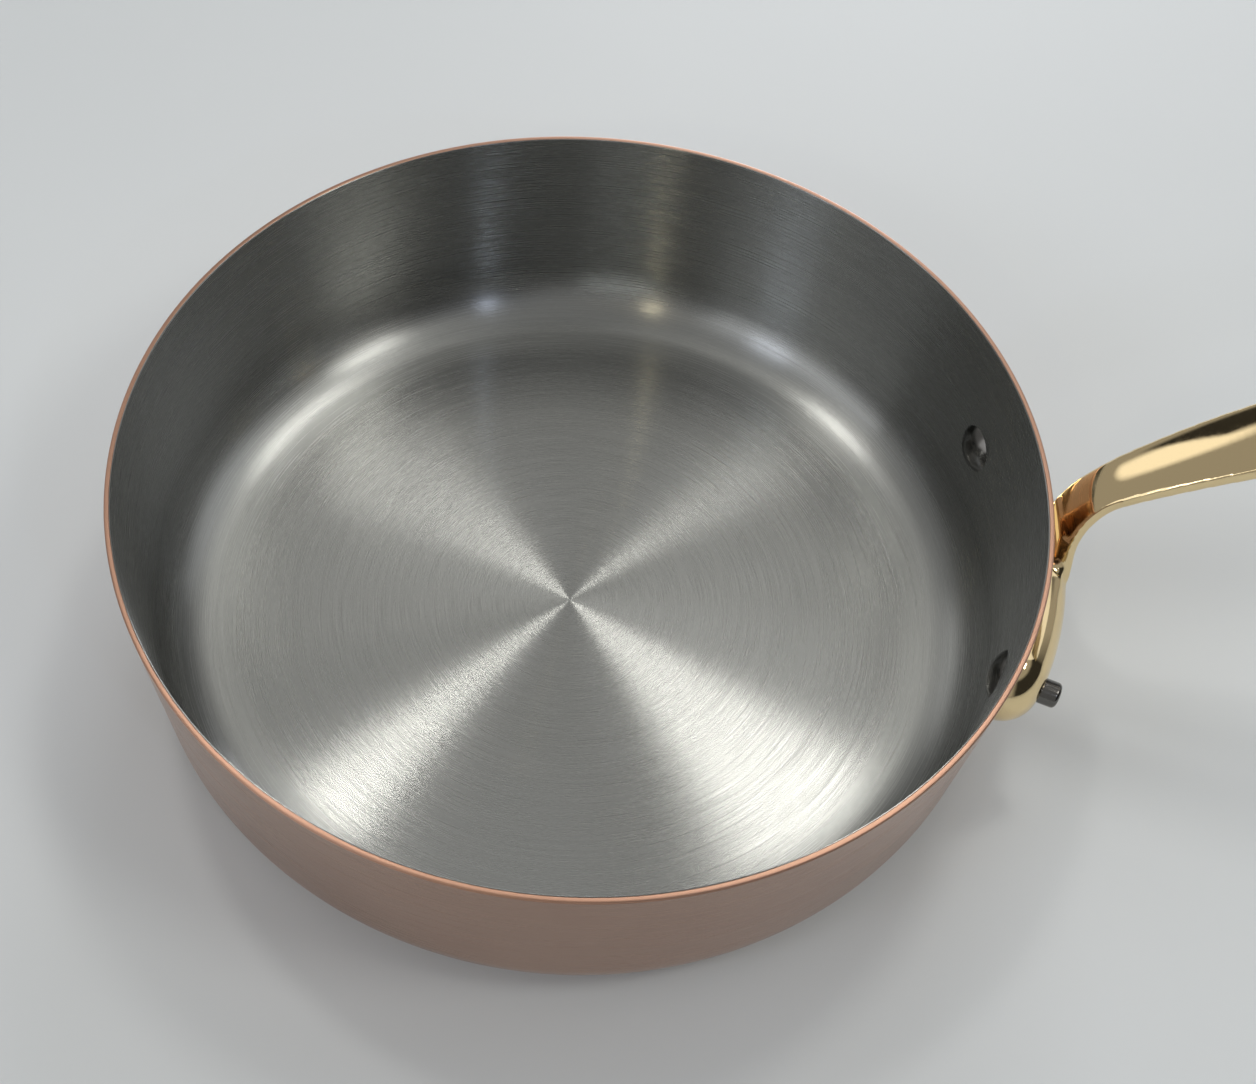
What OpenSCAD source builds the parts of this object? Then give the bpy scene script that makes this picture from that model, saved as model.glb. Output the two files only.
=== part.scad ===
// Saute pan: a copper body lined with steel, and a cast brass handle on two steel rivets.
// Millimetres, +Z up. The origin is the middle of the base, where it meets the stove,
// and the handle points along +X.

/* [Pan] */
// Outer diameter of the rim
rim_d = 240; // [216:1:280]
// Height of the rim above the stove
pan_h = 67; // [62:0.5:76]
// Lean of the wall outward from upright, in degrees
wall_lean = 4; // [1:0.5:7]
// Outer radius of the bend from the base into the wall
corner_r = 19; // [12:0.5:22]
// Thickness of the copper
copper_t = 1.3; // [1:0.1:2.2]
// Thickness of the steel lining
lining_t = 0.3; // [0.2:0.05:0.5]
// Radius of the rim's rounded outer edge
rim_edge_r = 0.7; // [0.3:0.1:0.9]

/* [Rivets] */
// Distance between the two rivets, straight across
rivet_spacing = 74; // [66:0.5:80]
// Height of the rivets above the stove, where they leave the copper
rivet_z = 36; // [34:0.5:38]
// Diameter of a rivet's shank
shank_d = 6.8; // [5:0.1:8]
// Diameter of a rivet's head, inside the pan
head_d = 13.4; // [11:0.1:16]
// Height of a rivet's head
head_h = 2.8; // [2:0.1:3.5]
// How far a rivet's tail stands out of the flange
tail_h = 4.5; // [2:0.1:6]
// Radius of the tail's rounded edge
tail_edge_r = 1; // [0.5:0.1:1.6]

/* [Flange] */
// Thickness of the flange at the rivets
flange_t = 9.8; // [8.5:0.1:12]
// Radius of the flange's rounded ends
flange_end_r = 12.5; // [10:0.5:14]
// Radius of the flange's rounded outer edge
flange_edge_r = 9.5; // [7:0.5:9.5]
// Radius of the flange's outer face, seen from above
flange_arc_r = 98; // [90:1:110]
// How far in from the flange's outer face the web above it starts
web_inset = 3.2; // [2.8:0.1:4]
// How far below the flange's top edge the web's fillets start
web_sink = 2.7; // [2:0.1:3.5]
// Radius of the fillets on both sides of that web
web_fillet_r = 11; // [8:0.5:12]

/* [Handle] */
// Gap between the rim and the top face of the upright neck
neck_gap = 4.4; // [3:0.1:6]
// How far below the rim the neck stands upright
neck_drop = 16.8; // [14:0.1:19]
// Radius of the neck's bend, at its top face
neck_bend_r = 33; // [28:1:40]
// Radius of the arm's bend, at its top face
arm_bend_r = 201; // [150:1:260]
// Slope of the handle where the neck runs into the arm, in degrees
arm_slope = 42; // [38:1:46]
// Slope of the handle's straight end, in degrees
tip_slope = 12; // [8:1:18]
// Thickness of the neck along its middle
neck_t = 5.2; // [4.6:0.1:6]
// Thickness of the grip along its middle
handle_t = 7.8; // [6.5:0.1:9]
// Radius of the crown across the handle's top face
top_crown_r = 34; // [30:1:50]
// Radius of the rounded edges along the handle
edge_r = 1; // [0.6:0.1:1.2]
// Width of the neck
neck_w = 13.2; // [12:0.1:15]
// How far each side of the neck flares out at the foot, on the flange
neck_flare = 5; // [3:0.1:6]
// How far the neck's foot reaches down the flange
foot_h = 7; // [5:0.5:9]
// Width of the grip at its widest
grip_w = 25; // [22:0.1:27]
// Distance from the rim to the narrow neck
neck_at = 11; // [10.5:0.1:12.5]
// Distance from the rim to the widest part of the grip
grip_at = 95; // [85:1:105]
// Distance from the rim to the middle of the hanging eye
eye_at = 177; // [170:1:190]
// Diameter of the rounded end around the eye
eye_d = 26; // [24:0.5:28]
// Diameter of the hole in the eye
eye_hole_d = 11; // [8:0.5:13]
// Radius of the drawn-in sides between grip and eye
waist_r = 150; // [110:1:220]

/* [Hidden] */
// How far every cut runs past the face that it opens
over = 5;
// Facets of a full turn, as drawn
$fn = 240;

rim_r = rim_d / 2;
wall_t = copper_t + lining_t;
shank_r = shank_d / 2;
head_r = head_d / 2;

// Radius of the wall's outer face at the height z
function wall_r(z) = rim_r - (pan_h - z) * tan(wall_lean);
// Middle of the bend from base to wall, in the pan's section
bend_x = wall_r(corner_r) - corner_r / cos(wall_lean);

// Where a rivet's axis leaves the copper, and its angle about the pan's axis
rivet_r = wall_r(rivet_z);
rivet_angle = asin(rivet_spacing / 2 / rivet_r);
// The arc of the flange's outer face, seen from above, runs through both rivets' axes
arc_at = (rivet_r + flange_t * cos(wall_lean)) * [cos(rivet_angle), sin(rivet_angle)];
arc_mid_x = arc_at[0] - sqrt(pow(flange_arc_r, 2) - pow(arc_at[1], 2));
arc_turn = asin(arc_at[1] / flange_arc_r);
flange_z = rivet_z - flange_t * sin(wall_lean);
flange_top = flange_z + flange_end_r;
// How far the flange runs in from its outer face, before the pan is cut from it
flange_depth = 2 * flange_t;

// Middles of the handle's two bends in its side view, and where the straight end starts
neck_mid = [rim_r + neck_gap + neck_bend_r, pan_h - neck_drop];
arm_turn = 90 + arm_slope;
tip_turn = 90 + tip_slope;
arm_mid = neck_mid + (neck_bend_r - arm_bend_r) * [cos(arm_turn), sin(arm_turn)];
tip_start = arm_mid + arm_bend_r * [cos(tip_turn), sin(tip_turn)];
// Sides of the handle seen from above: the grip's swell, the drawn-in waist, the eye
neck_x = rim_r + neck_at;
grip_x = rim_r + grip_at;
eye_x = rim_r + eye_at;
grip_swell = (grip_w - neck_w) / 2;
grip_side_r = (pow(grip_x - neck_x, 2) + pow(grip_swell, 2)) / (2 * grip_swell);
grip_mid = [grip_x, grip_w / 2 - grip_side_r];
eye_mid = [eye_x, 0];
// The waist's arc touches the grip's arc and the eye: the third corner of a triangle
span = norm(eye_mid - grip_mid);
long_side = grip_side_r + waist_r;
short_side = eye_d / 2 + waist_r;
foot_along = (pow(long_side, 2) - pow(short_side, 2) + pow(span, 2)) / (2 * span);
foot_aside = sqrt(pow(long_side, 2) - pow(foot_along, 2));
span_dir = (eye_mid - grip_mid) / span;
waist_mid = grip_mid + foot_along * span_dir + foot_aside * [-span_dir[1], span_dir[0]];
grip_end = grip_mid + grip_side_r * (waist_mid - grip_mid) / long_side;
eye_start = eye_mid + eye_d / 2 * (waist_mid - eye_mid) / short_side;

// Height of the straight end's top face over the middle of the eye
eye_z = tip_start[1] + (eye_x - tip_start[0]) * tan(tip_slope);
// Height of the top face where the neck is narrowest, and of the foot's end
neck_narrow_z = neck_mid[1] + sqrt(pow(neck_bend_r, 2) - pow(neck_mid[0] - neck_x, 2));
foot_z = neck_mid[1] - foot_h;
// How much thinner the foot gets as it fades into the flange, as a share of the neck
foot_fade_share = 0.5;
foot_fade = neck_t * foot_fade_share;
// Height of the handle's sides as a share of its thickness, and of their rounded edges
side_share = 0.52;
edge_share = 0.4;
// How late the neck's flare comes on towards the foot: 1 is even, more is later
flare_power = 1.5;
// Places across the handle's top face and underside, as shares of their half width
top_shares = [-1, -0.75, -0.5, -0.25, 0, 0.25, 0.5, 0.75, 1];
under_shares = [1, 0.67, 0.33, 0, -0.33, -0.67, -1];
// Turns around a rounded edge, in degrees, down to the side and on from it
edge_turns = [30, 60, 90];
side_turns = [0, 30, 60];
// Sections along the foot, the two bends, the straight end and the eye
foot_steps = 4;
neck_steps = 8;
arm_steps = 12;
tip_steps = 8;
eye_steps = 9;
// Turn around the eye, in degrees, at which the last section closes it
eye_last_turn = 87;

// Half section of the pan, filled, with its outer face set in by inset and its top at top_z
module pan_fill(inset, top_z) {
    r = corner_r - inset;
    touch = [bend_x + r * cos(wall_lean), corner_r - r * sin(wall_lean)];
    top = [touch[0] + (top_z - touch[1]) * tan(wall_lean), top_z];
    polygon([[0, inset], [bend_x, inset], [bend_x, corner_r], touch, top, [0, top_z]]);
    intersection() {
        translate([bend_x, corner_r]) circle(r);
        translate([bend_x, inset]) square([r, r]);
    }
}

// Corner of the rim outside its rounded edge
module rim_corner() {
    edge = [
        rim_r - rim_edge_r / cos(wall_lean) - rim_edge_r * tan(wall_lean),
        pan_h - rim_edge_r
    ];
    difference() {
        translate(edge) square([2 * rim_edge_r, rim_edge_r + over]);
        translate(edge) circle(rim_edge_r);
    }
}

// The pan's whole outer form, to cut what seats on it
module pan_form() {
    rotate_extrude() pan_fill(0, pan_h + over);
}

// The pan's wall and base as one, to cut what seats inside it
module pan_shell() {
    rotate_extrude() difference() {
        pan_fill(0, pan_h);
        pan_fill(wall_t, pan_h + over);
    }
}

// Puts a child, drawn along +Z from the copper's outer face outward, on a rivet's axis
module at_rivet(side) {
    rotate([0, 0, side * rivet_angle])
        translate([rivet_r, 0, rivet_z])
        rotate([0, 90 + wall_lean, 0])
        children();
}

module rivet_holes() {
    for (side = [-1, 1])
        at_rivet(side)
        translate([0, 0, -wall_t - over])
        cylinder(r = shank_r, h = wall_t + flange_t + 2 * over);
}

module copper_body() {
    color("peru") difference() {
        rotate_extrude() difference() {
            pan_fill(0, pan_h);
            pan_fill(copper_t, pan_h + over);
            rim_corner();
        }
        rivet_holes();
    }
}

module steel_lining() {
    color("silver") difference() {
        rotate_extrude() difference() {
            pan_fill(copper_t, pan_h);
            pan_fill(wall_t, pan_h + over);
        }
        rivet_holes();
    }
}

// Sweeps a section along the flange's arc: x out from the outer face, y up the wall
module sweep_on_arc() {
    translate([arc_mid_x, 0, 0])
        rotate([0, 0, -arc_turn])
        rotate_extrude(angle = 2 * arc_turn)
        translate([flange_arc_r, flange_z])
        rotate(-wall_lean)
        children();
}

// Section of the flange, with its outer face at x = 0
module flange_section() {
    flat = flange_end_r - flange_edge_r;
    translate([-flange_depth, -flange_end_r])
        square([flange_depth - flange_edge_r, 2 * flange_end_r]);
    translate([-flange_depth, -flat]) square([flange_depth, 2 * flat]);
    for (end = [-1, 1]) translate([-flange_edge_r, end * flat]) circle(flange_edge_r);
}

// Rounded end of the flange, square to the outer face at the rivet
module flange_end(side) {
    translate([arc_mid_x, 0, 0])
        rotate([0, 0, side * arc_turn])
        translate([flange_arc_r, 0, flange_z])
        rotate([0, 90 + wall_lean, 0])
        rotate_extrude() intersection() {
            rotate(90) flange_section();
            translate([0, -flange_depth]) square([flange_end_r, flange_depth]);
        }
}

// Web that rises from the middle of the flange to the neck, with a fillet on each side
module web() {
    side = neck_w / 2 + web_fillet_r;
    web_top = flange_top - web_sink + web_fillet_r;
    intersection() {
        sweep_on_arc() translate([-flange_depth, 0])
            square([flange_depth - web_inset, web_top - flange_z + over]);
        rotate([90, 0, 90]) linear_extrude(height = rim_d) difference() {
            translate([-side, flange_z]) square([2 * side, web_top - flange_z]);
            for (end = [-1, 1]) translate([end * side, web_top]) circle(web_fillet_r);
        }
    }
}

// Half width of the handle where its top face is at the point p, in its side view
function half_width(p) =
    let (down = (neck_narrow_z - p[1]) / (neck_narrow_z - foot_z))
    p[0] < neck_x
        ? neck_w / 2 + neck_flare * pow(down, flare_power)
    : p[0] < grip_end[0]
        ? grip_mid[1] + sqrt(pow(grip_side_r, 2) - pow(p[0] - grip_mid[0], 2))
    : p[0] < eye_start[0]
        ? waist_mid[1] - sqrt(pow(waist_r, 2) - pow(p[0] - waist_mid[0], 2))
    : sqrt(pow(eye_d / 2, 2) - pow(p[0] - eye_x, 2));

// Thickness of the handle along its middle where its top face is at the point p
function thickness(p) =
    p[0] < neck_x
        ? neck_t
        : neck_t + (handle_t - neck_t) * min(1, (half_width(p) - neck_w / 2) / grip_swell);

// A station along the top face: the middle of the face, the turn of its normal, how far
// that middle is drawn in, the thickness there and the height of the sides
function station(p, turn, t) = [p, turn, 0, t, side_share * t];
function foot_stations(n) = [for (i = [0:n - 1])
    let (h = foot_h * (1 - i / n))
    station(
        [neck_mid[0] - neck_bend_r, neck_mid[1] - h], 180,
        neck_t - foot_fade * pow(h / foot_h, 2)
    )
];
function bend_stations(mid, r, from, to, n) = [for (i = [0:n - 1])
    let (
        turn = from + (to - from) * i / n,
        p = mid + r * [cos(turn), sin(turn)]
    )
    station(p, turn, thickness(p))
];
function tip_stations(n) = [for (i = [0:n - 1])
    let (
        x = tip_start[0] + (eye_x - tip_start[0]) * i / n,
        p = [x, eye_z - (eye_x - x) * tan(tip_slope)]
    )
    station(p, tip_turn, thickness(p))
];
// Both crowns run round the end of the eye, so its edge is level
function eye_stations(n, last) = [for (i = [0:n])
    let (
        x = eye_d / 2 * sin(last * i / n),
        edge_drop = pow(eye_d / 2, 2) / (2 * top_crown_r),
        side = side_share * handle_t,
        drop = edge_drop * pow(sin(last * i / n), 2),
        swell = (handle_t - edge_drop - side) * pow(cos(last * i / n), 2)
    )
    [
        [eye_x + x, eye_z + x * tan(tip_slope)], tip_turn,
        drop, edge_drop - drop + side + swell, side
    ]
];

// Ring of points around the handle at a station: top face, edge, underside, edge
function ring(at) =
    let (
        w = half_width(at[0]),
        side = at[4],
        e = min(edge_r, edge_share * side, w / 2),
        flat = w - e,
        top = -at[2],
        under = top - at[3],
        top_edge = top - pow(flat, 2) / (2 * top_crown_r),
        under_edge = top_edge - side,
        section = concat(
            [for (s = top_shares) [s * flat, top - pow(s * flat, 2) / (2 * top_crown_r)]],
            [for (a = edge_turns) [flat + e * sin(a), top_edge - e * (1 - cos(a))]],
            [for (a = side_turns) [flat + e * cos(a), under_edge + e * (1 - sin(a))]],
            [for (s = under_shares) [s * flat, under + (under_edge - under) * pow(s, 2)]],
            [for (a = edge_turns) [-flat - e * sin(a), under_edge + e * (1 - cos(a))]],
            [for (a = side_turns) [-flat - e * cos(a), top_edge - e * (1 - sin(a))]]
        )
    )
    [for (p = section) [
        at[0][0] + p[1] * cos(at[1]),
        p[0],
        at[0][1] + p[1] * sin(at[1])
    ]];

// Foot, neck, arm, grip and eye of the handle as one crowned bar
module bar() {
    stations = concat(
        foot_stations(foot_steps),
        bend_stations(neck_mid, neck_bend_r, 180, arm_turn, neck_steps),
        bend_stations(arm_mid, arm_bend_r, arm_turn, tip_turn, arm_steps),
        tip_stations(tip_steps),
        eye_stations(eye_steps, eye_last_turn)
    );
    rings = [for (s = stations) ring(s)];
    sides = len(rings[0]);
    last = len(rings) - 1;
    polyhedron(
        points = [for (r = rings) each r],
        faces = concat(
            [[for (j = [0:sides - 1]) sides - 1 - j]],
            [for (i = [0:last - 1]) for (j = [0:sides - 1])
                let (a = i * sides + j, b = i * sides + (j + 1) % sides)
                each [[a, b, b + sides], [a, b + sides, a + sides]]],
            [[for (j = [0:sides - 1]) last * sides + j]]
        )
    );
}

module handle() {
    color("goldenrod") {
        difference() {
            union() {
                sweep_on_arc() flange_section();
                for (side = [-1, 1]) flange_end(side);
                web();
            }
            pan_form();
            rivet_holes();
        }
        difference() {
            bar();
            translate([eye_x, 0, eye_z])
                rotate([0, -tip_slope, 0])
                translate([0, 0, -handle_t - over])
                cylinder(d = eye_hole_d, h = handle_t + 2 * over);
        }
    }
}

// Rivet: a domed head that seats on the lining, a shank and a tail with a rounded edge
module rivet(side) {
    dome_r = (pow(head_r, 2) + pow(head_h, 2)) / (2 * head_h);
    shank_end = flange_t + tail_h;
    color("dimgray") {
        difference() {
            at_rivet(side) translate([0, 0, -wall_t]) rotate_extrude() intersection() {
                translate([0, dome_r - head_h]) circle(dome_r);
                translate([0, -head_h]) square([head_r, head_h + wall_t / 2]);
            }
            pan_shell();
        }
        at_rivet(side) rotate_extrude() {
            translate([0, -wall_t - head_h / 2])
                square([shank_r, wall_t + head_h / 2 + shank_end - tail_edge_r]);
            translate([0, shank_end - 2 * tail_edge_r])
                square([shank_r - tail_edge_r, 2 * tail_edge_r]);
            translate([shank_r - tail_edge_r, shank_end - tail_edge_r]) circle(tail_edge_r);
        }
    }
}

module rivet_left() {
    rivet(1);
}

module rivet_right() {
    rivet(-1);
}

copper_body();
steel_lining();
handle();
rivet_left();
rivet_right();
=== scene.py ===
"""Looks of the saute pan: lined copper body, brass handle, steel rivets, table, lamps and camera."""
import math

import bpy
from mathutils import Euler, Matrix, Vector


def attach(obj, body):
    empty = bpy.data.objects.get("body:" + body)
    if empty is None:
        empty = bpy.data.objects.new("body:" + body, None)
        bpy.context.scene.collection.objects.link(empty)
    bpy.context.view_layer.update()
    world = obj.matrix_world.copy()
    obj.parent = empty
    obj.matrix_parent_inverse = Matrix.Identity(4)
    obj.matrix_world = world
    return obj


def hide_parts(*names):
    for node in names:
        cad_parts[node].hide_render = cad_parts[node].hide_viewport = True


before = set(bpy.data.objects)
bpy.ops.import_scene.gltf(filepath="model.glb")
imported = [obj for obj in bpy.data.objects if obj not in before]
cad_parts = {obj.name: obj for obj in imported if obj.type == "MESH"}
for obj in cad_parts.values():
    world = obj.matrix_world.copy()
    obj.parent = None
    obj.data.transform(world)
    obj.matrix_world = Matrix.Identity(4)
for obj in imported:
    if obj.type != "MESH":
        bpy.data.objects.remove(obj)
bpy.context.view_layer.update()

MM = 0.001

# Sizes in millimetres, as in the part's source; slopes and turns in degrees, the wall's lean in radians

# Pan
RIM_R = 120.0
PAN_H = 67.0
LEAN = math.radians(4)
CORNER_R = 19.0
COPPER_T = 1.3
WALL_T = 1.6

# Rivets
RIVET_Z = 36.0
RIVET_SPACING = 74.0
SHANK_R = 3.4
HEAD_R = 6.7
HEAD_H = 2.8
TAIL_H = 4.5

# Flange, and the web between it and the neck
FLANGE_T = 9.8
FLANGE_END_R = 12.5
FLANGE_EDGE_R = 9.5
FLANGE_ARC_R = 98.0
WEB_INSET = 3.2
WEB_SINK = 2.7
WEB_FILLET_R = 11.0

# Neck, arm and hanging eye
NECK_GAP = 4.4
NECK_DROP = 16.8
NECK_BEND_R = 33.0
NECK_T = 5.2
NECK_W = 13.2
NECK_AT = 11.0
NECK_FLARE = 5.0
FOOT_H = 7.0
ARM_BEND_R = 201.0
ARM_SLOPE = 42.0
TIP_SLOPE = 12.0
GRIP_T = 7.8
GRIP_W = 25.0
GRIP_AT = 95.0
TOP_CROWN_R = 28.0
SIDE_SHARE = 0.52
WAIST_R = 150.0
EYE_AT = 177.0
EYE_D = 26.0
EYE_HOLE_D = 11.0
DRILL_L = 30.0
OVERRUN = 5.0

# Fine forms of the floor, rim, lining, rivets and bar
FLOOR_LIFT_R = 60.0
FLOOR_LIFT_TURN = 8.0
RIM_EDGE_R = 0.45
RIM_LINE_AT = 0.55
RIM_LINE_W = 0.35
RIM_LINE_D = 0.2
SEAM = 0.12
LIP = 0.1
LINING_GAP = 0.01
HEAD_UNDERCUT = 0.15
HEAD_LIFT = 0.25
TAIL_EDGE_R = 1.1
TAIL_CROWN_R = 1.2
TAIL_CROWN_H = 0.12
TAIL_CROWN_EDGE_H = 0.1
BAR_EDGE_R = 1.6

# Fineness of the casting's skin
SKIN_VOXEL = 0.5

# Root of the neck, smoothed more than the rest: its middle, how much each axis counts, its reach and fade
ROOT_AT = Vector((126, 0, 50))
ROOT_SHARES = Vector((1, 0.7, 1))
ROOT_REACH = 16.0
ROOT_FADE = 8.0

# Arm, whose skin is laid on the bar: its lowest height, its end before the eye, and the fade at both
ARM_LOW_Z = 62.0
ARM_END_GAP = 6.0
ARM_FADE = 10.0

# Rings and rows of the meshes
FLOOR_RINGS = (0, 40, 80)
WALL_FOOT_GAP = 3.0
WALL_TOP_GAP = 2.0
SPIN_STEPS = 256
CORNER_STEPS = 20
LIFT_STEPS = 5
WALL_STEPS = 5
DOME_STEPS = 18
EDGE_STEPS = 6
FLANGE_STEPS = 12
WEB_STEPS = 10
FOOT_STEPS = 5
NECK_STEPS = 20
ARM_STEPS = 30
TIP_STEPS = 24
BAR_ROWS = 6
EYE_ROWS = 10
RIVET_ROUND = 64
EYE_ROUND = 96
FLANGE_ROUND = 72
FLANGE_ARC_STEPS = 60
HOLE_ROUND = 72

# Points closer than this are joined, and half of it tells a point beside an edge from one on it
MERGE = 0.02


def wall_r(z):
    """Radius of the wall's outer face at the height z."""
    return RIM_R - (PAN_H - z) * math.tan(LEAN)


BEND_X = wall_r(CORNER_R) - CORNER_R / math.cos(LEAN)
RIM_LINE_FOOT = PAN_H - RIM_LINE_AT - RIM_LINE_W
RIVET_R = wall_r(RIVET_Z)
RIVET_ANGLE = math.asin(RIVET_SPACING / 2 / RIVET_R)

# Turns an upright piece so that its top faces out of the wall
OUTWARD = Matrix.Rotation(math.pi / 2 + LEAN, 4, "Y")


# Modelling steps

def deselect():
    bpy.ops.object.select_all(action="DESELECT")


def only(obj):
    """Makes obj the one selected and active object."""
    deselect()
    obj.select_set(True)
    bpy.context.view_layer.objects.active = obj


def edit(obj):
    only(obj)
    bpy.ops.object.mode_set(mode="EDIT")


def leave():
    bpy.ops.object.mode_set(mode="OBJECT")


def finish_modifier(obj, kind, **settings):
    """Adds a modifier with its settings and applies it."""
    made = obj.modifiers.new(kind.lower(), kind)
    for name, value in settings.items():
        setattr(made, name, value)
    only(obj)
    bpy.ops.object.modifier_apply(modifier=made.name)


def cut(obj, tool):
    """Cuts the tool's form out of obj and takes the tool away."""
    finish_modifier(obj, "BOOLEAN", operation="DIFFERENCE", solver="EXACT", object=tool)
    bpy.data.objects.remove(tool)


def smooth(obj, degrees):
    """Shades obj smooth, apart from edges sharper than the angle."""
    only(obj)
    bpy.ops.object.shade_smooth_by_angle(angle=math.radians(degrees))


def place(obj, matrix):
    """Moves the mesh itself, so that the object stays at the origin."""
    only(obj)
    obj.matrix_world = matrix
    bpy.ops.object.transform_apply(location=True, rotation=True, scale=True)


def weigh(obj, name, weight_at):
    """Makes a group of points, with weights from a function of their places in millimetres."""
    group = obj.vertex_groups.new(name=name)
    for v in obj.data.vertices:
        weight = min(1.0, weight_at(v.co / MM))
        if weight > 0:
            group.add([v.index], weight, "REPLACE")


def arc(mid, r, start, end, steps):
    """Points on an arc in the section plane, from the start angle to the end angle in degrees."""
    out = []
    for i in range(steps + 1):
        a = math.radians(start + (end - start) * i / steps)
        out.append((mid[0] + r * math.cos(a), mid[1] + r * math.sin(a)))
    return out


def drawn_line(name, points):
    """Draws a line point by point, by extruding one vertex of a plane, and stays in edit mode."""
    deselect()
    start = Vector(points[0]) * MM
    bpy.ops.mesh.primitive_plane_add(size=MM, location=start)
    obj = bpy.context.active_object
    obj.name = name
    bpy.ops.object.transform_apply(location=True, rotation=True, scale=True)
    bpy.ops.object.mode_set(mode="EDIT")
    bpy.ops.mesh.select_all(action="SELECT")
    bpy.ops.mesh.merge(type="CENTER")
    at = start
    for point in points[1:]:
        to = Vector(point) * MM
        bpy.ops.mesh.extrude_region_move(TRANSFORM_OT_translate={"value": to - at})
        at = to
    return obj


def spun(name, points, steps=SPIN_STEPS, turn=360.0, centre=(0, 0, 0), start=0.0):
    """Spins a drawn line about the vertical axis through the centre, all round or by a turn."""
    obj = drawn_line(name, [(x, 0, z) for x, z in points])
    bpy.ops.mesh.select_all(action="SELECT")
    middle = Vector(centre) * MM
    if start:
        bpy.ops.transform.rotate(value=-math.radians(start), orient_axis="Z", center_override=middle)
    bpy.ops.mesh.spin(steps=steps, angle=math.radians(turn), center=middle, axis=(0, 0, 1))
    bpy.ops.mesh.select_all(action="SELECT")
    bpy.ops.mesh.remove_doubles(threshold=MERGE * MM)
    bpy.ops.mesh.normals_make_consistent(inside=False)
    leave()
    obj.data.name = name
    return obj


def close_ends():
    """Closes the open ends of the mesh in edit mode, and leaves edit mode."""
    bpy.ops.mesh.select_all(action="SELECT")
    bpy.ops.mesh.fill_holes(sides=0)
    bpy.ops.mesh.normals_make_consistent(inside=False)
    leave()


# The pan

def outer_line(inset):
    """Outer face of the pan from its middle to the wall's foot, set in by inset."""
    line = [(x, inset) for x in FLOOR_RINGS]
    return line + arc((BEND_X, CORNER_R), CORNER_R - inset, -90, -math.degrees(LEAN), CORNER_STEPS)


def inner_line():
    """Cooking face from its middle to the wall's foot: the floor lifts gently before the corner."""
    r = CORNER_R - WALL_T
    lift_turn = math.radians(FLOOR_LIFT_TURN)
    lift = (FLOOR_LIFT_R - r) * (1 - math.cos(lift_turn))
    corner = (BEND_X + lift * math.tan(LEAN), CORNER_R + lift)
    foot = (corner[0] - (FLOOR_LIFT_R - r) * math.sin(lift_turn), WALL_T + FLOOR_LIFT_R)
    line = [(x, WALL_T) for x in FLOOR_RINGS]
    line += arc(foot, FLOOR_LIFT_R, -90, FLOOR_LIFT_TURN - 90, LIFT_STEPS)
    line += arc(corner, r, FLOOR_LIFT_TURN - 90, -math.degrees(LEAN), CORNER_STEPS)[1:]
    return line


def wall_point(inset, z):
    return (wall_r(z) - inset / math.cos(LEAN), z)


def wall_line(inset, top):
    """Points up the wall from just over the bend to the top, set in by inset."""
    foot = CORNER_R + WALL_FOOT_GAP
    return [wall_point(inset, foot + (top - foot) * i / WALL_STEPS) for i in range(WALL_STEPS + 1)]


def copper_shell():
    """Copper body: a rounded rim over a fine turned line, and a fine groove where the lining starts."""
    line = outer_line(0) + wall_line(0, RIM_LINE_FOOT)
    line += [wall_point(RIM_LINE_D, RIM_LINE_FOOT + RIM_LINE_W / 2), wall_point(0, PAN_H - RIM_LINE_AT)]
    line += arc(wall_point(RIM_EDGE_R, PAN_H - RIM_EDGE_R), RIM_EDGE_R, 0, 90, EDGE_STEPS)
    line += [wall_point(COPPER_T - SEAM, PAN_H), wall_point(COPPER_T, PAN_H - SEAM)]
    line += wall_line(COPPER_T, PAN_H - WALL_TOP_GAP)[::-1] + outer_line(COPPER_T)[::-1]
    shell = spun("copper_shell", line)
    smooth(shell, degrees=40)
    return shell


def lining_shell():
    """Steel lining with a softly rounded lip."""
    back = COPPER_T + LINING_GAP
    line = outer_line(back) + wall_line(back, PAN_H - LIP)
    line += [wall_point(COPPER_T + LIP, PAN_H), wall_point(WALL_T - LIP, PAN_H)]
    line += [wall_point(WALL_T, PAN_H - LIP)]
    line += wall_line(WALL_T, PAN_H - WALL_TOP_GAP)[::-1] + inner_line()[::-1]
    shell = spun("steel_lining_shell", line)
    smooth(shell, degrees=40)
    return shell


def rivet(name, side):
    """Rivet: low dome inside the pan, shank, and a tail whose end is rounded over."""
    dome_r = (HEAD_R ** 2 + HEAD_H ** 2) / (2 * HEAD_H)
    half = math.degrees(math.asin(HEAD_R / dome_r))
    seat = HEAD_LIFT - WALL_T
    end = FLANGE_T + TAIL_H
    soft = TAIL_EDGE_R
    line = arc((0, dome_r - WALL_T - HEAD_H), dome_r, -90, half - 90, DOME_STEPS)
    line += [(HEAD_R - HEAD_UNDERCUT, seat), (SHANK_R, seat)]
    line += [(SHANK_R, 0), (SHANK_R, FLANGE_T), (SHANK_R, end - soft)]
    line += arc((SHANK_R - soft, end - soft), soft, 0, 80, EDGE_STEPS)[1:]
    line += [(TAIL_CROWN_R, end + TAIL_CROWN_EDGE_H), (0, end + TAIL_CROWN_H)]
    piece = spun(name, line, steps=RIVET_ROUND)
    turn = Matrix.Rotation(side * RIVET_ANGLE, 4, "Z")
    place(piece, turn @ Matrix.Translation(Vector((RIVET_R, 0, RIVET_Z)) * MM) @ OUTWARD)
    smooth(piece, degrees=60)
    return piece


# The handle

def on_turn(degrees):
    return Vector((math.cos(math.radians(degrees)), math.sin(math.radians(degrees))))


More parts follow.
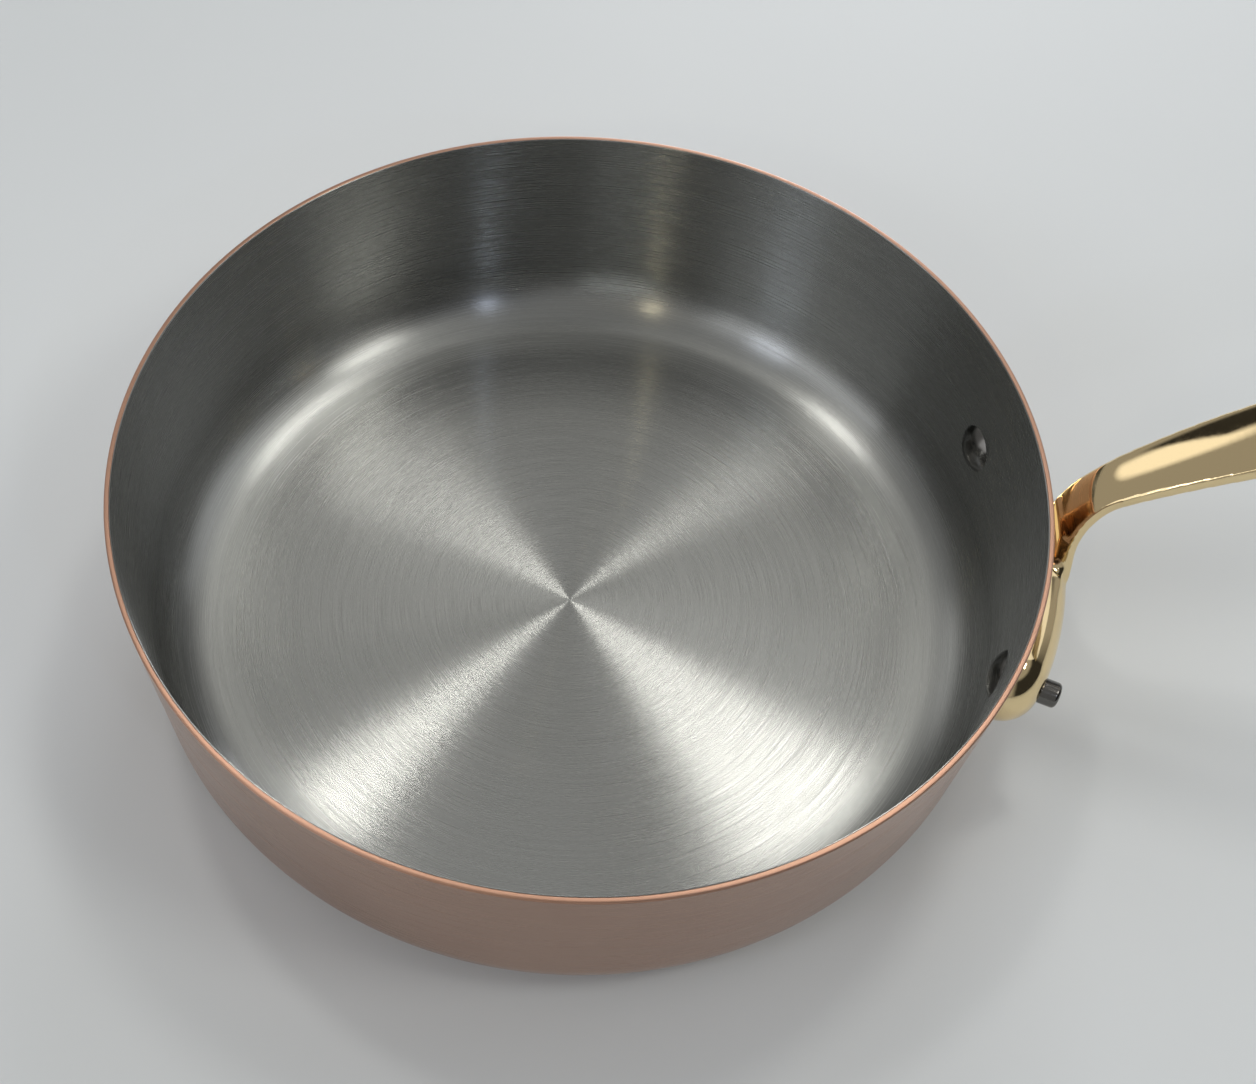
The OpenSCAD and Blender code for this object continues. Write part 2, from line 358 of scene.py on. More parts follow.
# The flange's outer face lies on an arc about a middle on the X axis
ARC_AT = (RIVET_R + FLANGE_T * math.cos(LEAN)) * Vector((math.cos(RIVET_ANGLE), math.sin(RIVET_ANGLE)))
ARC_MID_X = ARC_AT.x - math.sqrt(FLANGE_ARC_R ** 2 - ARC_AT.y ** 2)
ARC_TURN = math.asin(ARC_AT.y / FLANGE_ARC_R)
FLANGE_Z = RIVET_Z - FLANGE_T * math.sin(LEAN)
FLANGE_FLAT = FLANGE_END_R - FLANGE_EDGE_R
FLANGE_DEPTH = 14.0

# Side view of the top face: middles of its two bends, and where the straight end starts
NECK_MID = Vector((RIM_R + NECK_GAP + NECK_BEND_R, PAN_H - NECK_DROP))
ARM_TURN = 90 + ARM_SLOPE
TIP_TURN = 90 + TIP_SLOPE
ARM_MID = NECK_MID + (NECK_BEND_R - ARM_BEND_R) * on_turn(ARM_TURN)
TIP_START = ARM_MID + ARM_BEND_R * on_turn(TIP_TURN)

# Seen from above: the side swells from neck to grip, draws in to the waist and ends round the eye
NECK_X = RIM_R + NECK_AT
GRIP_X = RIM_R + GRIP_AT
EYE_X = RIM_R + EYE_AT
EYE_Z = TIP_START.y + (EYE_X - TIP_START.x) * math.tan(math.radians(TIP_SLOPE))
GRIP_SWELL = (GRIP_W - NECK_W) / 2
GRIP_SIDE_R = ((GRIP_X - NECK_X) ** 2 + GRIP_SWELL ** 2) / (2 * GRIP_SWELL)
GRIP_MID = Vector((GRIP_X, GRIP_W / 2 - GRIP_SIDE_R))
EYE_MID = Vector((EYE_X, 0))

# The waist's arc touches the grip's and the eye's, so its middle is the corner of a triangle
SPAN = (EYE_MID - GRIP_MID).length
LONG_SIDE = GRIP_SIDE_R + WAIST_R
SHORT_SIDE = EYE_D / 2 + WAIST_R
ALONG = (LONG_SIDE ** 2 - SHORT_SIDE ** 2 + SPAN ** 2) / (2 * SPAN)
ASIDE = math.sqrt(LONG_SIDE ** 2 - ALONG ** 2)
SPAN_DIR = (EYE_MID - GRIP_MID) / SPAN
WAIST_MID = GRIP_MID + ALONG * SPAN_DIR + ASIDE * Vector((-SPAN_DIR.y, SPAN_DIR.x))
GRIP_END = GRIP_MID + GRIP_SIDE_R * (WAIST_MID - GRIP_MID) / LONG_SIDE
EYE_START = EYE_MID + EYE_D / 2 * (WAIST_MID - EYE_MID) / SHORT_SIDE

# The neck flares from its narrowest place down to its foot
NARROW_Z = NECK_MID.y + math.sqrt(NECK_BEND_R ** 2 - (NECK_MID.x - NECK_X) ** 2)
FOOT_Z = NECK_MID.y - FOOT_H
FLARE_POWER = 1.5


def half_width(x, z):
    """Half width of the handle where its top face is at x and z."""
    if x < NECK_X:
        return NECK_W / 2 + NECK_FLARE * ((NARROW_Z - z) / (NARROW_Z - FOOT_Z)) ** FLARE_POWER
    if x < GRIP_END.x:
        return GRIP_MID.y + math.sqrt(GRIP_SIDE_R ** 2 - (x - GRIP_MID.x) ** 2)
    if x < EYE_START.x:
        return WAIST_MID.y - math.sqrt(WAIST_R ** 2 - (x - WAIST_MID.x) ** 2)
    return EYE_D / 2


def thickness(x, z):
    """Thickness of the handle there: it grows with the width, from the neck's to the grip's."""
    if x < NECK_X:
        return NECK_T
    return NECK_T + (GRIP_T - NECK_T) * min(1, (half_width(x, z) - NECK_W / 2) / GRIP_SWELL)


def handle_stations():
    """Places along the handle's top face: x, z, the turn of the face, half width, thickness."""
    out = []
    for i in range(FOOT_STEPS):
        z = FOOT_Z + (NECK_MID.y - FOOT_Z) * i / FOOT_STEPS
        out.append((NECK_MID.x - NECK_BEND_R, z, 180.0))
    for i in range(NECK_STEPS):
        turn = 180 + (ARM_TURN - 180) * i / NECK_STEPS
        p = NECK_MID + NECK_BEND_R * on_turn(turn)
        out.append((p.x, p.y, turn))
    for i in range(ARM_STEPS):
        turn = ARM_TURN + (TIP_TURN - ARM_TURN) * i / ARM_STEPS
        p = ARM_MID + ARM_BEND_R * on_turn(turn)
        out.append((p.x, p.y, turn))
    for i in range(TIP_STEPS + 1):
        x = TIP_START.x + (EYE_X - TIP_START.x) * i / TIP_STEPS
        out.append((x, EYE_Z - (EYE_X - x) * math.tan(math.radians(TIP_SLOPE)), TIP_TURN))
    return [(x, z, turn, half_width(x, z), thickness(x, z)) for x, z, turn in out]


def crown_drop(y):
    """How far the crowned top face has fallen at the distance y from its middle line."""
    return y ** 2 / (2 * TOP_CROWN_R)


def back_swell(w, t):
    """How far the middle of the back stands out from its edges, for a half width and a thickness."""
    return t - crown_drop(w) - SIDE_SHARE * t


def half_section(w, t, rows):
    """Points out along the crowned top face, and points back along the crowned back."""
    swell = back_swell(w, t)
    top = [(w * i / rows, -crown_drop(w * i / rows)) for i in range(rows + 1)]
    back = [(w * i / rows, swell * (i / rows) ** 2 - t) for i in range(rows, -1, -1)]
    return top, back


def turn_up(degrees, at):
    """Turns what is selected, in the plane of the handle, from facing +X towards +Z."""
    bpy.ops.transform.rotate(value=math.radians(degrees), orient_axis="Y", center_override=at)


def only_group(name):
    """Selects the visible points of one group."""
    bpy.ops.mesh.select_all(action="DESELECT")
    bpy.ops.object.vertex_group_set_active(group=name)
    bpy.ops.object.vertex_group_select()


def round_edges(obj):
    """Rounds the long edges of the bar, or the rim of the eye."""
    finish_modifier(obj, "BEVEL", width=BAR_EDGE_R * MM, segments=4, limit_method="ANGLE",
                    angle_limit=math.radians(40))


def bar():
    """The bar of the handle: its foot's section drawn out, turned and sized from station to station."""
    stations = handle_stations()
    x, z, turn, w, t = stations[0]
    top, back = half_section(w, t, BAR_ROWS)
    edge = (top[-1][1] + back[0][1]) / 2
    half = top + [(w, edge)] + back
    ring = [(n, y, 0) for y, n in half] + [(n, -y, 0) for y, n in half[-2:0:-1]]
    obj = drawn_line("bar", ring)
    bpy.ops.mesh.select_all(action="SELECT")
    bpy.ops.mesh.edge_face_add()
    bpy.ops.mesh.delete(type="ONLY_FACE")
    leave()
    weigh(obj, "top", lambda at: float(at.x > edge + MERGE / 2))
    weigh(obj, "back", lambda at: float(at.x < edge - MERGE / 2))
    edit(obj)
    bpy.ops.mesh.select_all(action="SELECT")
    at = Vector((x, 0, z)) * MM
    bpy.ops.transform.translate(value=at)
    turn_up(turn, at)
    for x, z, new_turn, new_w, new_t in stations[1:]:
        to = Vector((x, 0, z)) * MM
        bpy.ops.mesh.extrude_region_move(TRANSFORM_OT_translate={"value": to - at})
        bpy.ops.mesh.hide(unselected=True)
        turn_up(-turn, to)
        bpy.ops.transform.resize(value=(1, new_w / w, 1), center_override=to)
        only_group("top")
        bpy.ops.transform.resize(value=((new_w / w) ** 2, 1, 1), center_override=to)
        only_group("back")
        swell = back_swell(new_w, new_t) / back_swell(w, t)
        bpy.ops.transform.resize(value=(swell, 1, 1), center_override=to - Vector((t, 0, 0)) * MM)
        bpy.ops.transform.translate(value=((t - new_t) * MM, 0, 0))
        bpy.ops.mesh.select_all(action="SELECT")
        turn_up(new_turn, to)
        at, turn, w, t = to, new_turn, new_w, new_t
    bpy.ops.mesh.reveal()
    close_ends()
    round_edges(obj)
    return obj


def at_eye():
    """Frame of the hanging eye, on the top face and square to it."""
    lean = Matrix.Rotation(-math.radians(TIP_SLOPE), 4, "Y")
    return Matrix.Translation(Vector((EYE_X, 0, EYE_Z)) * MM) @ lean


def eye_disc():
    """Rounded end of the handle around its hanging eye."""
    top, back = half_section(EYE_D / 2, GRIP_T, EYE_ROWS)
    disc = spun("eye_disc", top + back, steps=EYE_ROUND)
    place(disc, at_eye())
    round_edges(disc)
    return disc


def flange_line():
    """Section of the flange with its outer face at x = 0, from bottom to top."""
    r = FLANGE_EDGE_R
    line = [(-FLANGE_DEPTH, -FLANGE_END_R)]
    line += arc((-r, -FLANGE_FLAT), r, -90, 0, FLANGE_STEPS)
    line += arc((-r, FLANGE_FLAT), r, 0, 90, FLANGE_STEPS)
    line += [(-FLANGE_DEPTH, FLANGE_END_R), (-FLANGE_DEPTH, -FLANGE_END_R)]
    return line


def flange_bar():
    """Middle of the flange: its section, leaning as the wall does, spun along the flange's arc."""
    c, s = math.cos(LEAN), math.sin(LEAN)
    face_x = ARC_MID_X + FLANGE_ARC_R
    line = [(face_x + c * x + s * z, FLANGE_Z + c * z - s * x) for x, z in flange_line()]
    turn = 2 * math.degrees(ARC_TURN)
    obj = spun("flange_bar", line, FLANGE_ARC_STEPS, turn, centre=(ARC_MID_X, 0, 0), start=turn / 2)
    edit(obj)
    close_ends()
    return obj


def flange_end(side):
    """Domed end of the flange, spun about the axis square to its outer face."""
    line = [(0, -FLANGE_DEPTH), (FLANGE_END_R, -FLANGE_DEPTH)]
    line += arc((FLANGE_FLAT, -FLANGE_EDGE_R), FLANGE_EDGE_R, 0, 90, FLANGE_STEPS)
    line += [(0, 0)]
    obj = spun("flange_end", line, steps=FLANGE_ROUND)
    middle = Matrix.Translation(Vector((ARC_MID_X, 0, 0)) * MM)
    turn = Matrix.Rotation(side * ARC_TURN, 4, "Z")
    out = Matrix.Translation(Vector((FLANGE_ARC_R, 0, FLANGE_Z)) * MM)
    place(obj, middle @ turn @ out @ OUTWARD)
    return obj


def web():
    """Web between the flange and the neck, drawn in towards the neck row by row."""
    foot = FLANGE_Z + FLANGE_END_R - WEB_SINK
    side = NECK_W / 2 + WEB_FILLET_R
    outer = ARC_MID_X + FLANGE_ARC_R - WEB_INSET
    inner = NECK_MID.x - NECK_BEND_R
    deselect()
    bpy.ops.mesh.primitive_plane_add(size=MM)
    obj = bpy.context.active_object
    obj.name = "web"
    bpy.ops.transform.resize(value=(outer - inner, 2 * side, 1))
    bpy.ops.transform.translate(value=Vector(((outer + inner) / 2, 0, FLANGE_Z)) * MM)
    bpy.ops.object.transform_apply(location=True, rotation=True, scale=True)
    bpy.ops.object.mode_set(mode="EDIT")
    bpy.ops.mesh.select_all(action="SELECT")
    bpy.ops.mesh.extrude_region_move(TRANSFORM_OT_translate={"value": (0, 0, (foot - FLANGE_Z) * MM)})
    wide = side
    low = foot
    for i in range(1, WEB_STEPS + 1):
        a = math.radians(90 * i / WEB_STEPS)
        high = foot + WEB_FILLET_R * (1 - math.cos(a))
        half = side - WEB_FILLET_R * math.sin(a)
        bpy.ops.mesh.extrude_region_move(TRANSFORM_OT_translate={"value": (0, 0, (high - low) * MM)})
        bpy.ops.transform.resize(value=(1, half / wide, 1), center_override=Vector((outer, 0, high)) * MM)
        wide = half
        low = high
    bpy.ops.mesh.select_all(action="SELECT")
    bpy.ops.mesh.normals_make_consistent(inside=False)
    leave()
    return obj


def root_weight(at):
    """1 at the root of the neck, fading out around it."""
    away = ((at - ROOT_AT) * ROOT_SHARES).length
    return (ROOT_REACH - away) / ROOT_FADE


def arm_weight(at):
    """1 along the arm, fading out over the neck's bend and before the eye."""
    return min((at.z - ARM_LOW_Z) / ARM_FADE, (EYE_START.x - ARM_END_GAP - at.x) / ARM_FADE)


def follow_bar(handle):
    """Lays the skin of the arm on the bar's own smooth faces, so that it reflects cleanly."""
    guide = bar()
    finish_modifier(guide, "SUBSURF", levels=2)
    weigh(handle, "arm", arm_weight)
    finish_modifier(handle, "SHRINKWRAP", target=guide, wrap_method="NEAREST_SURFACEPOINT",
                    vertex_group="arm")
    finish_modifier(handle, "SMOOTH", factor=0.5, iterations=10, vertex_group="arm")
    bpy.data.objects.remove(guide)


def eye_drill():
    """Cylinder that cuts the hole of the hanging eye."""
    deselect()
    bpy.ops.mesh.primitive_cylinder_add(vertices=HOLE_ROUND, radius=EYE_HOLE_D / 2 * MM, depth=DRILL_L * MM)
    drill = bpy.context.active_object
    place(drill, at_eye())
    return drill


def pan_form():
    """The pan's outside as a solid, a little higher than the rim, to fit the flange to the wall."""
    top = PAN_H + OVERRUN
    return spun("pan_form", outer_line(0) + wall_line(0, top) + [(0, top)])


def cast_handle():
    """Handle and flange as one casting: joined, remeshed as one skin, ground smooth, fitted to the wall."""
    parts = [bar(), flange_bar(), flange_end(1), flange_end(-1), web(), eye_disc()]
    deselect()
    for part in parts:
        part.select_set(True)
    bpy.context.view_layer.objects.active = parts[0]
    bpy.ops.object.join()
    handle = bpy.context.active_object
    handle.name = "cast_handle"
    finish_modifier(handle, "REMESH", mode="VOXEL", voxel_size=SKIN_VOXEL * MM)
    weigh(handle, "root", root_weight)
    finish_modifier(handle, "SMOOTH", factor=0.5, iterations=25, vertex_group="root")
    finish_modifier(handle, "SMOOTH", factor=0.5, iterations=12)
    follow_bar(handle)
    cut(handle, eye_drill())
    cut(handle, pan_form())
    handle.data.name = "cast_handle"
    smooth(handle, degrees=50)
    return handle


# Materials

# The values that a noise mostly lies between, spread over a range of roughness
NOISE_SPAN = {"From Min": 0.3, "From Max": 0.7}

# Path from the middle, in millimetres, over which the crossed brushing comes in, and then fades out
CROSSED_IN = (92, 106)
CROSSED_OUT = (110, 130)


def linear(hex_colour):
    """An sRGB hex colour as linear red, green, blue and alpha."""
    out = []
    for i in (0, 2, 4):
        c = int(hex_colour[i:i + 2], 16) / 255
        out.append(c / 12.92 if c <= 0.04045 else ((c + 0.055) / 1.055) ** 2.4)
    return (*out, 1.0)


def put(tree, kind, inputs=None, **settings):
    """Adds a node with its settings; an input is linked if it is given an output, and set if not."""
    made = tree.nodes.new(kind)
    for name, value in settings.items():
        setattr(made, name, value)
    for key, value in (inputs or {}).items():
        if isinstance(value, bpy.types.NodeSocket):
            tree.links.new(value, made.inputs[key])
        else:
            made.inputs[key].default_value = value
    return made


def new_material(name):
    """An empty node material: the material, its nodes and its surface socket."""
    made = bpy.data.materials.new(name)
    made.use_nodes = True
    made.node_tree.nodes.clear()
    out = put(made.node_tree, "ShaderNodeOutputMaterial")
    return made, made.node_tree, out.inputs["Surface"]


def scale_of(size_mm):
    """Scale of a pattern on Object coordinates, from the size of its features."""
    return 1 / (size_mm * MM)


def polar(tree):
    """Direction out from the pan's axis, and the path from the middle along the floor and up the wall.
    The path is near enough the distance from the axis plus the height."""
    axes = put(tree, "ShaderNodeSeparateXYZ", {0: put(tree, "ShaderNodeTexCoord").outputs["Object"]})
    flat = put(tree, "ShaderNodeCombineXYZ", {"X": axes.outputs["X"], "Y": axes.outputs["Y"]})
    radius = put(tree, "ShaderNodeVectorMath", {0: flat.outputs[0]}, operation="LENGTH")
    facing = put(tree, "ShaderNodeVectorMath", {0: flat.outputs[0]}, operation="NORMALIZE")
    path = put(tree, "ShaderNodeMath", {0: radius.outputs["Value"], 1: axes.outputs["Z"]}, operation="ADD")
    return facing.outputs[0], path.outputs[0]


def turned_lines(tree, pitch_mm, reach, detail, rough):
    """Lines of a turned or brushed face: the pitch across them, and how soon they change round the pan."""
    facing, path = polar(tree)
    side = put(tree, "ShaderNodeVectorMath", {0: facing, 3: reach}, operation="SCALE")
    around = put(tree, "ShaderNodeSeparateXYZ", {0: side.outputs[0]})
    across = put(tree, "ShaderNodeMath", {0: path, 1: scale_of(pitch_mm)}, operation="MULTIPLY")
    spot = put(tree, "ShaderNodeCombineXYZ",
               {"X": across.outputs[0], "Y": around.outputs["X"], "Z": around.outputs["Y"]})
    lines = put(tree, "ShaderNodeTexNoise",
                {"Vector": spot.outputs[0], "Scale": 1.0, "Detail": detail, "Roughness": rough})
    return lines.outputs["Fac"]


def brushed_stainless_lining():
    """Stainless steel, brushed in circles on a spinning pad: highlights spread into rays from the middle.
    In the corner the pad turned aside, so the light spreads both ways there. The grit's lines, really
    under 0.1 mm apart, are drawn 0.25 mm apart so that they show."""
    made, tree, surface = new_material("brushed_stainless_lining")
    fine = turned_lines(tree, 0.25, 3.0, 3.0, 0.6)
    scratch = turned_lines(tree, 0.9, 1.2, 2.0, 0.5)
    heights = put(tree, "ShaderNodeMath", {0: fine, 1: scratch}, operation="ADD")
    bump = put(tree, "ShaderNodeBump",
               {"Strength": 0.14, "Distance": 0.05 * MM, "Height": heights.outputs[0]})
    tangent = put(tree, "ShaderNodeTangent", direction_type="RADIAL", axis="Z")
    tint = put(tree, "ShaderNodeMix", {"Factor": scratch, 6: linear("969794"), 7: linear("A1A29F")},
               data_type="RGBA")
    even_rough = put(tree, "ShaderNodeMapRange",
                     {"Value": fine, **NOISE_SPAN, "To Min": 0.19, "To Max": 0.31})
    crossed_rough = put(tree, "ShaderNodeMapRange",
                        {"Value": fine, **NOISE_SPAN, "To Min": 0.38, "To Max": 0.46})
    common = {"Base Color": tint.outputs[2], "Metallic": 1.0, "Normal": bump.outputs[0],
              "Tangent": tangent.outputs[0], "Anisotropic Rotation": 0.25}
    even = put(tree, "ShaderNodeBsdfPrincipled",
               {**common, "Anisotropic": 1.0, "Roughness": even_rough.outputs[0]})
    crossed = put(tree, "ShaderNodeBsdfPrincipled",
                  {**common, "Anisotropic": 0.3, "Roughness": crossed_rough.outputs[0]})
    path = polar(tree)[1]
    comes_in = put(tree, "ShaderNodeMapRange",
                   {"Value": path, "From Min": CROSSED_IN[0] * MM, "From Max": CROSSED_IN[1] * MM,
                    "To Min": 0.15, "To Max": 0.5})
    stays = put(tree, "ShaderNodeMapRange",
                {"Value": path, "From Min": CROSSED_OUT[0] * MM, "From Max": CROSSED_OUT[1] * MM,
                 "To Min": 1.0, "To Max": 0.0})
    share = put(tree, "ShaderNodeMath", {0: comes_in.outputs[0], 1: stays.outputs[0]}, operation="MULTIPLY")
    shader = put(tree, "ShaderNodeMixShader",
                 {0: share.outputs[0], 1: even.outputs[0], 2: crossed.outputs[0]})
    tree.links.new(shader.outputs[0], surface)
    return made


def satin_copper():
    """Copper, turned and polished on its outer face: pinkish, with faint rings and a soft bloom."""
    made, tree, surface = new_material("satin_copper")
    fine = turned_lines(tree, 0.5, 2.0, 3.0, 0.6)
    rough = put(tree, "ShaderNodeMapRange", {"Value": fine, **NOISE_SPAN, "To Min": 0.2, "To Max": 0.3})
    bump = put(tree, "ShaderNodeBump", {"Strength": 0.05, "Distance": 0.05 * MM, "Height": fine})
    spot = put(tree, "ShaderNodeTexCoord").outputs["Object"]
    bloom = put(tree, "ShaderNodeTexNoise",
                {"Vector": spot, "Scale": scale_of(22.2), "Detail": 3.0, "Roughness": 0.6})
    tint = put(tree, "ShaderNodeMix",
               {"Factor": bloom.outputs["Fac"], 6: linear("BA9B88"), 7: linear("B08D7A")}, data_type="RGBA")
    shader = put(tree, "ShaderNodeBsdfPrincipled",
                 {"Base Color": tint.outputs[2], "Metallic": 1.0, "Roughness": rough.outputs[0],
                  "Normal": bump.outputs[0]})
    tree.links.new(shader.outputs[0], surface)
    return made


def ground_copper_rim():
    """Rim of the copper where it was turned off: bare metal, duller and redder than the polished side."""
    made, tree, surface = new_material("ground_copper_rim")
    lines = turned_lines(tree, 0.2, 1.0, 2.0, 0.5)
    tint = put(tree, "ShaderNodeMix", {"Factor": lines, 6: linear("C39A84"), 7: linear("B28A74")},
               data_type="RGBA")
    shader = put(tree, "ShaderNodeBsdfPrincipled",
                 {"Base Color": tint.outputs[2], "Metallic": 1.0, "Roughness": 0.38})
    tree.links.new(shader.outputs[0], surface)
    return made


def polished_brass():
    """Cast brass, ground and polished: near mirror, with the slight unevenness of a hand-held buff."""
    made, tree, surface = new_material("polished_brass")
    spot = put(tree, "ShaderNodeTexCoord").outputs["Object"]
    waves = put(tree, "ShaderNodeTexNoise",
                {"Vector": spot, "Scale": scale_of(16.7), "Detail": 1.0, "Roughness": 0.4})
    pits = put(tree, "ShaderNodeTexNoise",
               {"Vector": spot, "Scale": scale_of(1.11), "Detail": 2.0, "Roughness": 0.5})
    rough = put(tree, "ShaderNodeMapRange",
                {"Value": pits.outputs["Fac"], **NOISE_SPAN, "To Min": 0.05, "To Max": 0.1})
    bump = put(tree, "ShaderNodeBump",
               {"Strength": 0.05, "Distance": 0.4 * MM, "Height": waves.outputs["Fac"]})
    shader = put(tree, "ShaderNodeBsdfPrincipled",
                 {"Base Color": linear("F0D8A8"), "Metallic": 1.0, "Roughness": rough.outputs[0],
                  "Normal": bump.outputs[0]})
    tree.links.new(shader.outputs[0], surface)
    return made


def rivet_steel():
    """Stainless steel rivet, forged and tumbled: dark reflections under a soft polish."""
    made, tree, surface = new_material("rivet_steel")
    spot = put(tree, "ShaderNodeTexCoord").outputs["Object"]
    dents = put(tree, "ShaderNodeTexNoise",
                {"Vector": spot, "Scale": scale_of(2.86), "Detail": 2.0, "Roughness": 0.5}).outputs["Fac"]
    rough = put(tree, "ShaderNodeMapRange", {"Value": dents, **NOISE_SPAN, "To Min": 0.14, "To Max": 0.26})
    bump = put(tree, "ShaderNodeBump", {"Strength": 0.08, "Distance": 0.2 * MM, "Height": dents})
    shader = put(tree, "ShaderNodeBsdfPrincipled",
                 {"Base Color": linear("6F6D69"), "Metallic": 1.0, "Roughness": rough.outputs[0],
                  "Normal": bump.outputs[0]})
    tree.links.new(shader.outputs[0], surface)
    return made


def pale_table():
    """Plain pale table top, matt, with a faint cloudiness."""
    made, tree, surface = new_material("pale_table")
    spot = put(tree, "ShaderNodeTexCoord").outputs["Object"]
    cloud = put(tree, "ShaderNodeTexNoise",
                {"Vector": spot, "Scale": scale_of(167), "Detail": 3.0, "Roughness": 0.5})
    tint = put(tree, "ShaderNodeMix",
               {"Factor": cloud.outputs["Fac"], 6: linear("D6DADB"), 7: linear("DBDFE0")}, data_type="RGBA")
    shader = put(tree, "ShaderNodeBsdfPrincipled", {"Base Color": tint.outputs[2], "Roughness": 0.55})
    tree.links.new(shader.outputs[0], surface)
    return made


# The pieces

def dress(piece, material, node):
    """Gives a finished piece its material and its body, and hides the node that it stands for."""
    piece.data.materials.clear()
    piece.data.materials.append(material)
    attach(piece, "root")
    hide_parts(node)


def grind_rim(shell):
    """Gives the rim, with its fine line, the ground finish."""
    shell.data.materials.append(ground_copper_rim())
    for face in shell.data.polygons:
        if face.center.z > RIM_LINE_FOOT * MM:
            face.material_index = 1


body = copper_shell()
dress(body, satin_copper(), "copper_body")
grind_rim(body)
dress(lining_shell(), brushed_stainless_lining(), "steel_lining")
dress(cast_handle(), polished_brass(), "handle")
dark_steel = rivet_steel()
for node, side in (("rivet_left", 1), ("rivet_right", -1)):
    dress(rivet(node + "_piece", side), dark_steel, node)


# Table, room, lamps and camera

# Width of the table top in metres
TABLE_SIZE = 24.0

# The room: its level, a lit patch to the back left, and dim zones along the back and to the front right
ROOM_LEVEL = 0.34
PATCH_LEVEL = 1.15
PATCH_WAY = (-0.603, 0.664, 0.442)
PATCH_EDGE = (0.968, 0.988)
DIM_LEVEL = 0.03
DIM_BACK = [("Y", 0.40, 0.50), ("X", -0.53, -0.49), ("Z", 0.20, 0.25), ("Z", 0.56, 0.49)]
DIM_RIGHT = [("X", 0.15, 0.35), ("Y", 0.30, 0.15), ("Z", 0.66, 0.56)]

CEILING_WHITE = "FFFDF8"
WINDOW_WHITE = "F8FAFF"
PAN_MIDDLE = (0, 0, 0)
FLOOR_BACK = (0, 0.1, 0.04)

# The photograph's frame in pixels: its width, the focal length, and the column that the lens faces
PHOTO_W = 1256
FOCAL_PX = 1750
FACED_PX = 520
SENSOR_W = 36.0

# The camera's place in millimetres, and its turns about X, Y and Z in degrees
CAMERA_AT = Vector((-2.37, -271.55, 421.78))
CAMERA_TURN = (34.678, -0.829, 3.783)


def table():
    """Table top under the pan."""
    deselect()
    bpy.ops.mesh.primitive_plane_add(size=TABLE_SIZE)
    top = bpy.context.active_object
    top.name = "table"
    top.data.materials.append(pale_table())


def zone(tree, way, edges):
    """1 within a zone of directions.
    Each edge is an axis, the value where the zone starts and the value where it is full."""
    share = 1.0
    for axis, start, full in edges:
        edge = put(tree, "ShaderNodeMapRange",
                   {"Value": way.outputs[axis], "From Min": start, "From Max": full})
        share = put(tree, "ShaderNodeMath", {0: share, 1: edge.outputs[0]}, operation="MULTIPLY").outputs[0]
    return share


def room_light():
    """Plain room light, with the lit patch and the dim zones that the polished handle mirrors."""
    world = bpy.data.worlds.new("room")
    world.use_nodes = True
    tree = world.node_tree
    tree.nodes.clear()
    out = put(tree, "ShaderNodeOutputWorld")
    way = put(tree, "ShaderNodeTexCoord").outputs["Generated"]
    axes = put(tree, "ShaderNodeSeparateXYZ", {0: way})
    facing = put(tree, "ShaderNodeVectorMath", {0: way, 1: PATCH_WAY}, operation="DOT_PRODUCT")
    patch = put(tree, "ShaderNodeMapRange",
                {"Value": facing.outputs["Value"], "From Min": PATCH_EDGE[0], "From Max": PATCH_EDGE[1],
                 "To Min": ROOM_LEVEL, "To Max": PATCH_LEVEL})
    dim = put(tree, "ShaderNodeMath", {0: zone(tree, axes, DIM_BACK), 1: zone(tree, axes, DIM_RIGHT)},
              operation="MAXIMUM")
    level = put(tree, "ShaderNodeMix", {"Factor": dim.outputs[0], 2: patch.outputs[0], 3: DIM_LEVEL})
    light = put(tree, "ShaderNodeBackground", {"Color": level.outputs[0]})
    tree.links.new(light.outputs[0], out.inputs["Surface"])
    bpy.context.scene.world = world


def lamp(name, at, aim, size, watts, colour):
    """A soft rectangular lamp at a place, in metres, turned to its aim."""
    data = bpy.data.lights.new(name, "AREA")
    data.shape = "RECTANGLE"
    data.size, data.size_y = size
    data.energy = watts
    data.color = linear(colour)[:3]
    made = bpy.data.objects.new(name, data)
    made.location = at
    made.rotation_euler = (Vector(aim) - Vector(at)).to_track_quat("-Z", "Y").to_euler()
    bpy.context.scene.collection.objects.link(made)


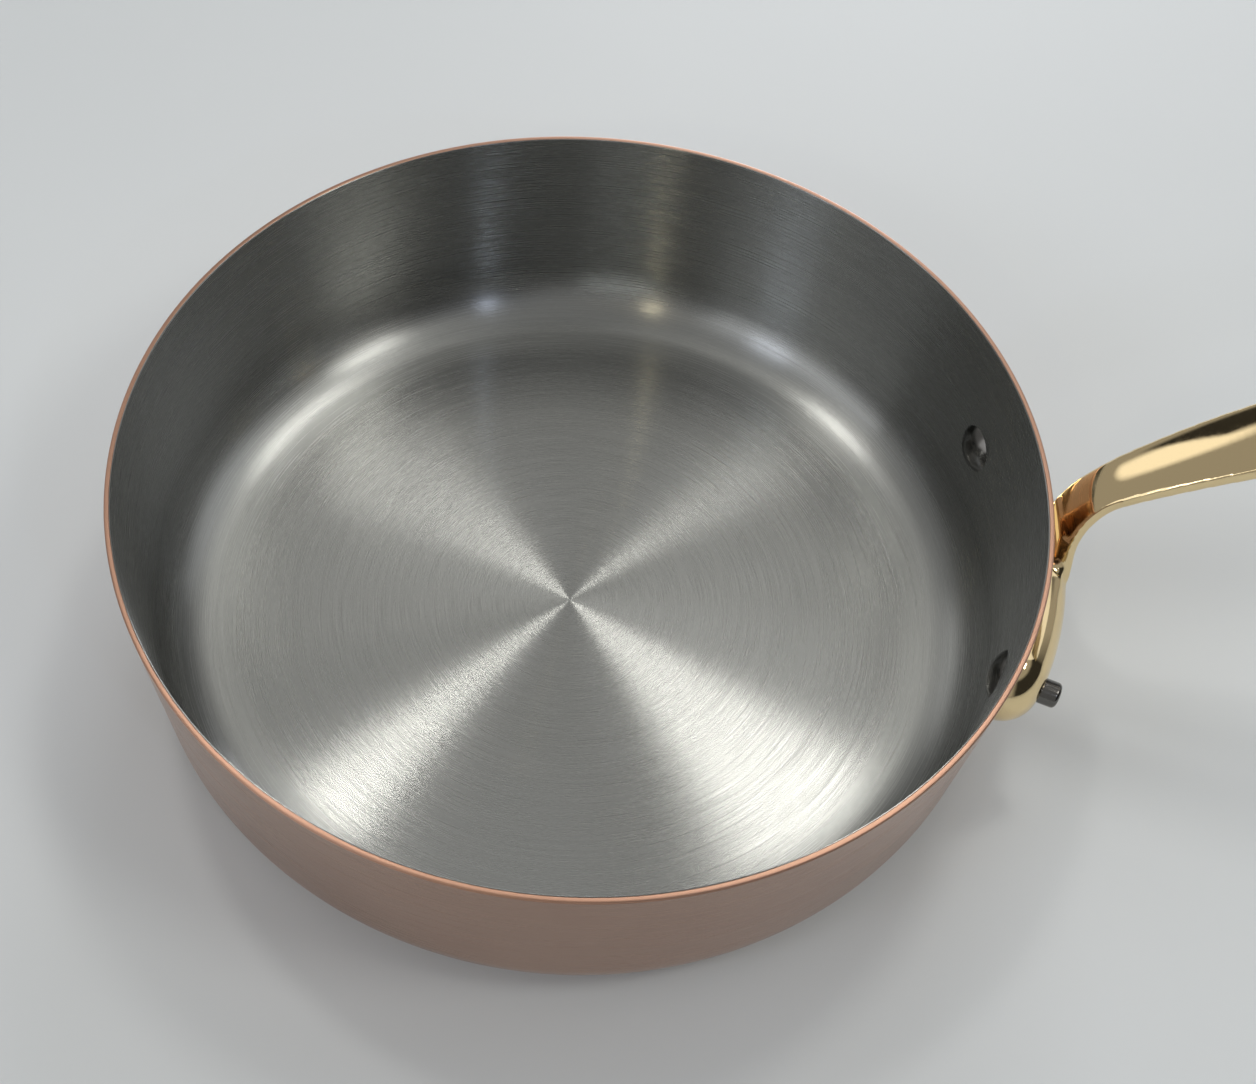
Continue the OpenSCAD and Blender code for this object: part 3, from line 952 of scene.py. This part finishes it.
def lamps():
    """Ceiling lamps draw the rays on the pan's floor, windows light its walls,
    and three small lamps draw the streaks up its far wall."""
    lamp("ceiling_right", (0.30, 0.46, 1.18), PAN_MIDDLE, (0.2, 0.2), 1.8, CEILING_WHITE)
    lamp("ceiling_left", (-0.33, 0.36, 1.21), PAN_MIDDLE, (0.12, 0.12), 1.4, CEILING_WHITE)
    lamp("ceiling_front", (0.72, -0.22, 1.07), PAN_MIDDLE, (0.28, 0.28), 2.1, CEILING_WHITE)
    lamp("ceiling_back", (0.03, 0.74, 1.07), PAN_MIDDLE, (0.72, 0.26), 0.4, CEILING_WHITE)
    lamp("window_right", (0.98, 0.50, 0.86), PAN_MIDDLE, (0.8, 0.8), 1.25, WINDOW_WHITE)
    lamp("window_left", (-1.19, -0.75, 0.75), PAN_MIDDLE, (1.3, 0.9), 3.5, WINDOW_WHITE)
    lamp("window_back", (0.5, 2.5, 0.75), PAN_MIDDLE, (1.2, 0.6), 28, WINDOW_WHITE)
    lamp("streak_left", (0.33, -0.60, 0.65), FLOOR_BACK, (0.03, 0.03), 0.2, "DCE6FF")
    lamp("streak_middle", (-0.21, -0.63, 0.66), FLOOR_BACK, (0.02, 0.02), 0.22, "FFF0CC")
    lamp("streak_right", (-0.57, -0.44, 0.60), FLOOR_BACK, (0.14, 0.14), 0.36, "E6EDFF")


def camera():
    """The photograph's view, found by fitting the rim, the floor and the outline of the pan."""
    data = bpy.data.cameras.new("camera")
    data.sensor_width = SENSOR_W
    data.lens = SENSOR_W * FOCAL_PX / PHOTO_W
    data.shift_x = (PHOTO_W / 2 - FACED_PX) / PHOTO_W
    data.clip_start = 0.01
    made = bpy.data.objects.new("camera", data)
    turn = Euler([math.radians(a) for a in CAMERA_TURN])
    made.matrix_world = Matrix.LocRotScale(CAMERA_AT * MM, turn, None)
    bpy.context.scene.collection.objects.link(made)
    bpy.context.scene.camera = made


table()
room_light()
lamps()
camera()

bpy.context.scene.view_settings.view_transform = "Standard"
